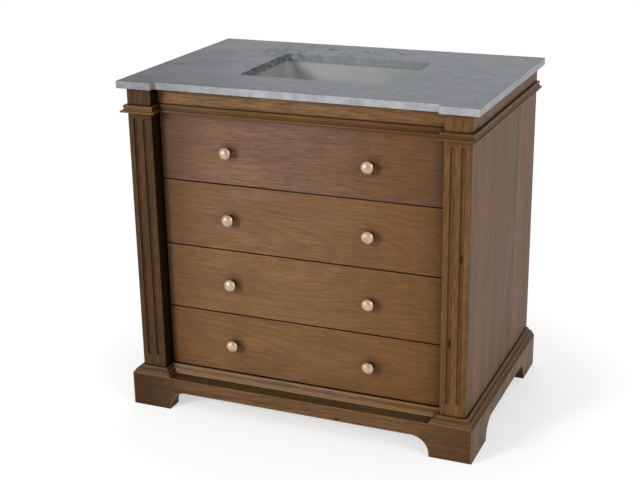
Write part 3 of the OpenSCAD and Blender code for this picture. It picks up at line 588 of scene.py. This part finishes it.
def makeStone():
    look = stoneLook
    material, tree, shader = newMaterial("paleStone")
    point = placeOnPiece(tree)
    warp = bendOf(tree, point, look["warpSize"], 4.0)
    warped = vectorOf(tree, "ADD", point, scaleOf(tree, warp, look["warp"]))
    slanted = vectorOf(tree, "MULTIPLY", warped, look["slant"])
    clouds = rangeOf(tree, noiseOf(tree, slanted, look["cloudSize"], 5.0, 0.6), 0.38, 0.66)
    mottle = rangeOf(tree, noiseOf(tree, warped, look["mottleSize"], 5.0, 0.65), 0.40, 0.66)
    softVeins = rangeOf(tree, ridgesOf(tree, slanted, look["softSize"], 4.0, 0.55), 0.0, 0.05, 1.0, 0.0)
    ridges = ridgesOf(tree, warped, look["thinSize"], 4.0, 0.6)
    thinVeins = rangeOf(tree, ridges, 0.0, 0.022, 1.0, 0.0)
    wideVeins = rangeOf(tree, ridges, 0.0, 0.07, 1.0, 0.0)
    streaks = noiseOf(tree, vectorOf(tree, "MULTIPLY", warped, look["streakSize"]), 1.0, 3.0, 0.6)
    streaks = rangeOf(tree, streaks, 0.5, 0.72, 0.0, look["streakShare"])

    bent = partsOf(tree, warped)
    toCorner = rangeOf(tree, mathOf(tree, "MULTIPLY_ADD", bent[1], 0.6, bent[0]), *look["cornerReach"])
    color = colorMix(tree, clouds, linear(*look["face"]), linear(*look["cloud"]))
    color = colorMix(tree, toCorner, color, linear(*look["cornerFace"]))
    color = colorMix(tree, streaks, color, linear(*look["vein"]))
    color = tinted(tree, color, mottle, look["mottleShare"], look["vein"])
    color = tinted(tree, color, softVeins, look["softShare"], look["vein"])
    broken = mathOf(tree, "MULTIPLY", mottle, look["thinShare"])
    color = tinted(tree, color, thinVeins, broken, look["darkVein"])
    gap = lengthOf(tree, vectorOf(tree, "SUBTRACT", warped, look["veinPlace"]))
    near = rangeOf(tree, gap, 0.02, look["veinReach"], look["veinShare"], 0.0)
    color = tinted(tree, color, near, wideVeins, look["darkVein"])
    color = stoneEdges(tree, color, point, warped, mottle, look)
    # Painted shade in hollows and in the cut round the basin
    hollowShade = rangeOf(tree, openSky(tree, look["hollowReach"]), 0.15, 0.60, look["paintedHollowShade"], 0.0)
    color = colorMix(tree, hollowShade, color, linear(*look["darkVein"]))

    tree.links.new(color, shader.inputs["Base Color"])
    tree.links.new(rangeOf(tree, clouds, 0.0, 1.0, look["rough"] - 0.04, look["rough"] + 0.05, False),
                   shader.inputs["Roughness"])
    shader.inputs["Specular IOR Level"].default_value = look["shine"]
    grit = noiseOf(tree, point, look["gritSize"], 2.0)
    relief = mathOf(tree, "MULTIPLY_ADD", mottle, 0.5, mathOf(tree, "MULTIPLY", grit, 0.2))
    tree.links.new(softNormal(tree, relief, 0.12, 0.0004, look["edgeEase"]), shader.inputs["Normal"])
    return material


finishes["marble"] = makeStone()


# Glazed ceramic
glazeLook = {
    "color": (160, 160, 158), "pooled": (148, 150, 150), "poolSize": 9.0,
    "rough": 0.10, "speckRough": 0.05, "speckSize": 340.0, "shine": 0.35,
    "waveSize": 55.0, "waveDepth": 0.06,
}


def makeGlaze():
    look = glazeLook
    material, tree, shader = newMaterial("whiteGlaze")
    point = placeOnPiece(tree)
    pooled = rangeOf(tree, noiseOf(tree, point, look["poolSize"], 2.0), 0.35, 0.7)
    color = colorMix(tree, pooled, linear(*look["color"]), linear(*look["pooled"]))
    tree.links.new(color, shader.inputs["Base Color"])
    specks = noiseOf(tree, point, look["speckSize"], 2.0)
    tree.links.new(rangeOf(tree, specks, 0.4, 0.7, look["rough"], look["rough"] + look["speckRough"]),
                   shader.inputs["Roughness"])
    shader.inputs["Specular IOR Level"].default_value = look["shine"]
    waves = noiseOf(tree, point, look["waveSize"], 2.0)
    tree.links.new(addNode(tree, "Bump", {"Strength": look["waveDepth"], "Distance": 0.001,
                                          "Height": waves}).outputs[0], shader.inputs["Normal"])
    return material


finishes["glaze"] = makeGlaze()


# Metals
metalLooks = {
    "knob_metal": dict(name="paleRose", color=(204, 178, 152), dull=(182, 154, 128), rough=0.32,
                       brush=0.02, tarnishAndShade=(40, 26, 17), tarnishAndShadeReach=0.012,
                       neckFrom=0.0168, neckFade=0.002, paintedNeckReflection=0.94),    # painted dark reflection on the neck behind the head
    "slide_steel": dict(name="zincSteel", color=(176, 178, 180), dull=(150, 153, 156), rough=0.34,
                        brush=0.12, tarnishAndShade=(90, 92, 94), tarnishAndShadeReach=0.004),
}
brushSize = (900.0, 30.0, 900.0)    # of the brush lines, finer across than along


def makeMetal(look):
    material, tree, shader = newMaterial(look["name"])
    point = placeOnPiece(tree)
    cloud = rangeOf(tree, noiseOf(tree, point, 60.0, 3.0), 0.35, 0.7)
    color = colorMix(tree, cloud, linear(*look["color"]), linear(*look["dull"]))
    # Darker in hollows: tarnish, and on the knobs painted shade and dark reflection
    tarnishAndShadeMask = rangeOf(tree, openSky(tree, look["tarnishAndShadeReach"]), 0.45, 0.92, 0.97, 0.0)
    color = colorMix(tree, tarnishAndShadeMask, color, linear(*look["tarnishAndShade"]))
    # Painted dark reflection on the knob's neck
    if "neckFrom" in look:
        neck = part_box("drawer_1_knobs")[1].y - look["neckFrom"]
        y = partsOf(tree, point)[1]
        behind = rangeOf(tree, y, neck - look["neckFade"], neck, 0.0, look["paintedNeckReflection"])
        color = colorMix(tree, behind, color, linear(*look["tarnishAndShade"]))
    tree.links.new(color, shader.inputs["Base Color"])
    shader.inputs["Metallic"].default_value = 1.0
    lines = noiseOf(tree, vectorOf(tree, "MULTIPLY", point, brushSize), 1.0, 2.0)
    rough = mathOf(tree, "MULTIPLY_ADD", lines, look["brush"], look["rough"])
    tree.links.new(mathOf(tree, "MULTIPLY_ADD", cloud, 0.05, rough), shader.inputs["Roughness"])
    tree.links.new(addNode(tree, "Bump", {"Strength": look["brush"], "Distance": 0.0002,
                                          "Height": lines}).outputs[0], shader.inputs["Normal"])
    return material


for slot, look in metalLooks.items():
    finishes[slot] = makeMetal(look)
print("stone, glaze and metals ready")


# Mesh helpers
def makePiece(name, vertices, faces, finish, sharpAngle=35):
    mesh = bpy.data.meshes.new(name)
    mesh.from_pydata(vertices, [], faces)
    bm = bmesh.new()
    bm.from_mesh(mesh)
    bmesh.ops.recalc_face_normals(bm, faces=bm.faces)
    for face in bm.faces:
        face.smooth = True
    for edge in bm.edges:
        edge.smooth = edge.calc_face_angle(0) < math.radians(sharpAngle)
    bm.to_mesh(mesh)
    bm.free()
    mesh.materials.append(finishes[finish])
    piece = bpy.data.objects.new(name, mesh)
    bpy.context.scene.collection.objects.link(piece)
    return piece


def joinRings(ringCount, pointCount, closed=True):
    # Faces of a tube made of rings that each hold the same number of points
    faces = []
    for j in range(ringCount if closed else ringCount - 1):
        for k in range(pointCount):
            a, b = j * pointCount, ((j + 1) % ringCount) * pointCount
            n = (k + 1) % pointCount
            faces.append((a + k, b + k, b + n, a + n))
    return faces


# Basin: one ceramic shell, drawn as rings from the drain out over the rim and back underneath
basinShape = {
    "rimWidth": 0.028, "rimThick": 0.012, "wall": 0.010,
    "reveal": 0.003,          # the bowl starts this far outside the stone's opening
    "lean": 0.034, "cornerRound": 0.014, "floorRound": 0.034,
    "wallShare": 0.8,         # how much of the lean is in the straight wall
    "drain": 0.0225, "drainRing": 0.011, "fall": 0.005, "rimEase": 0.001,
    "wallRings": 8, "turnRings": 12, "floorRings": 12,
    "sideSteps": 20, "cornerSteps": 9,
}


def rectPoint(halfX, halfY, r, angle):
    # Where a ray from the middle leaves a rectangle with rounded corners
    c, s = abs(math.cos(angle)), abs(math.sin(angle))
    r = min(r, halfX, halfY)
    if c > 1e-9 and halfX * s / c <= halfY - r:
        reach = halfX / c
    elif s > 1e-9 and halfY * c / s <= halfX - r:
        reach = halfY / s
    else:
        px, py = halfX - r, halfY - r
        along = px * c + py * s
        reach = along + math.sqrt(max(0.0, along * along - (px * px + py * py - r * r)))
    return reach * math.cos(angle), reach * math.sin(angle)


def makeBasin():
    shape = basinShape
    low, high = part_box("basin")
    middleX, middleY = (low.x + high.x) / 2, (low.y + high.y) / 2
    openX = (high.x - low.x) / 2 - shape["rimWidth"]
    openY = (high.y - low.y) / 2 - shape["rimWidth"]
    rimZ = high.z
    floorZ = low.z + shape["wall"] + shape["fall"]
    corner = math.atan2(openY, openX)
    quarter = math.radians(90)
    sides = [quarter * k / shape["sideSteps"] for k in range(shape["sideSteps"])]
    corners = [corner + math.radians(k) for k in range(-shape["cornerSteps"], shape["cornerSteps"] + 1)]
    turns = sorted({round(a, 5) for a in sides + corners})
    angles = [math.radians(90 * q) + (a if q % 2 == 0 else quarter - a)
              for q in range(4) for a in (turns if q % 2 == 0 else reversed(turns))]
    angles = sorted({round(a % math.tau, 5) for a in angles})
    ringR = shape["drain"] + shape["drainRing"]

    def shell(gap, topZ):
        # Rings of the bowl's surface at a distance gap outside the glaze, rim first
        startRound = shape["cornerRound"] + shape["reveal"] + gap
        endRound = shape["cornerRound"] + shape["lean"]
        turnZ = floorZ + shape["floorRound"]
        lowZ = floorZ - gap
        rings = []
        for k in range(shape["wallRings"] + 1):
            t = k / shape["wallRings"]
            inset = t * shape["wallShare"] * shape["lean"] - shape["reveal"] - gap
            r = startRound + (endRound - startRound) * t * shape["wallShare"]
            rings.append((openX - inset, openY - inset, r, topZ + (turnZ - topZ) * t))
        for k in range(1, shape["turnRings"] + 1):
            t = quarter * k / shape["turnRings"]
            turned = shape["floorRound"] * (1 - math.cos(t))
            inset = (shape["wallShare"] * shape["lean"] - shape["reveal"] - gap) + turned
            rings.append((openX - inset, openY - inset, endRound + turned / 2,
                          turnZ - (turnZ - lowZ) * math.sin(t)))
        lastX, lastY, lastRound, lastZ = rings[-1]
        for k in range(1, shape["floorRings"] + 1):
            t = k / shape["floorRings"]
            rings.append((lastX + (ringR - lastX) * t, lastY + (ringR - lastY) * t,
                          lastRound + (ringR - lastRound) * t, lastZ - shape["fall"] * t))
        rings.append((shape["drain"], shape["drain"], shape["drain"], lowZ - shape["fall"]))
        return rings

    rimX, rimY = openX + shape["rimWidth"], openY + shape["rimWidth"]
    rimRound = shape["cornerRound"] + shape["rimWidth"]
    underZ = rimZ - shape["rimThick"]
    rings = list(reversed(shell(0.0, rimZ)))
    ease = shape["rimEase"]
    rings += [(rimX - ease, rimY - ease, rimRound, rimZ), (rimX, rimY, rimRound, rimZ - ease),
              (rimX, rimY, rimRound, underZ + ease), (rimX - ease, rimY - ease, rimRound, underZ)]
    rings += shell(shape["wall"], underZ)
    vertices = []
    for halfX, halfY, r, z in rings:
        for angle in angles:
            x, y = rectPoint(halfX, halfY, r, angle)
            vertices.append((middleX + x, middleY + y, z))
    basin = makePiece("basinShell", vertices, joinRings(len(rings), len(angles)), "glaze", 50)
    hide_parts("basin")
    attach(basin, "cabinet")


# Knobs: turned, each with a shallow domed head on a waisted neck and a stepped base
knobShape = {
    "segments": 64,
    # (radius, distance from the drawer front) as shares of the head's radius and the knob's reach
    "outline": ((0.0, 0.0), (0.53, 0.0), (0.53, 0.035), (0.50, 0.060), (0.43, 0.070), (0.40, 0.095),
                (0.33, 0.150), (0.29, 0.23), (0.275, 0.35), (0.28, 0.47), (0.31, 0.56), (0.40, 0.605),
                (0.55, 0.630), (0.78, 0.655), (0.93, 0.690), (0.99, 0.730), (1.0, 0.765), (0.985, 0.800),
                (0.93, 0.845), (0.82, 0.890), (0.66, 0.935), (0.46, 0.970), (0.24, 0.992), (0.0, 1.0)),
}


def smoothOutline(points, steps=3):
    # A round curve through the outline's points after its flat base
    out = [points[0], points[1]]
    body = points[1:]
    for i in range(len(body) - 1):
        p0, p1 = body[max(i - 1, 0)], body[i]
        p2, p3 = body[i + 1], body[min(i + 2, len(body) - 1)]
        for k in range(1, steps + 1):
            t = k / steps
            out.append(tuple(0.5 * (2 * b + (c - a) * t + (2 * a - 5 * b + 4 * c - d) * t * t
                                    + (3 * b - a - 3 * c + d) * t ** 3)
                             for a, b, c, d in zip(p0, p1, p2, p3)))
    return out


def makeKnobs(i):
    low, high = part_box("drawer_%d_knobs" % i)
    reach = high.y - low.y
    radius = (high.z - low.z) / 2
    middleZ = (high.z + low.z) / 2
    outline = smoothOutline(knobShape["outline"])
    count = knobShape["segments"]
    for side, name in ((-1, "Left"), (1, "Right")):
        middleX = side * (high.x - radius)
        vertices = [(middleX, high.y, middleZ)]
        for share, out in outline[1:-1]:
            r = min(share, 1.0) * radius
            for k in range(count):
                a = math.tau * k / count
                vertices.append((middleX + r * math.cos(a), high.y - reach * max(out, 0.0),
                                 middleZ + r * math.sin(a)))
        vertices.append((middleX, low.y, middleZ))
        faces = [tuple(1 + v for v in f) for f in joinRings(len(outline) - 2, count, False)]
        last = 1 + (len(outline) - 3) * count
        for k in range(count):
            n = (k + 1) % count
            faces.append((0, 1 + n, 1 + k))
            faces.append((len(vertices) - 1, last + k, last + n))
        knob = makePiece("drawer%dKnob%s" % (i, name), vertices, faces, "knob_metal", 40)
        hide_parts("drawer_%d_knobs" % i)
        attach(knob, "drawer_%d" % i)


makeBasin()
for i in drawerTones:
    makeKnobs(i)
print("basin and knobs made")


def dress(node):
    finish = finishes.get(node) or finishes[slotOf[node]]
    mesh = cadNodes[node].data
    mesh.materials.clear()
    mesh.materials.append(finish)


for node in cadNodes:
    dress(node)
print("finishes on", len(cadNodes), "pieces")
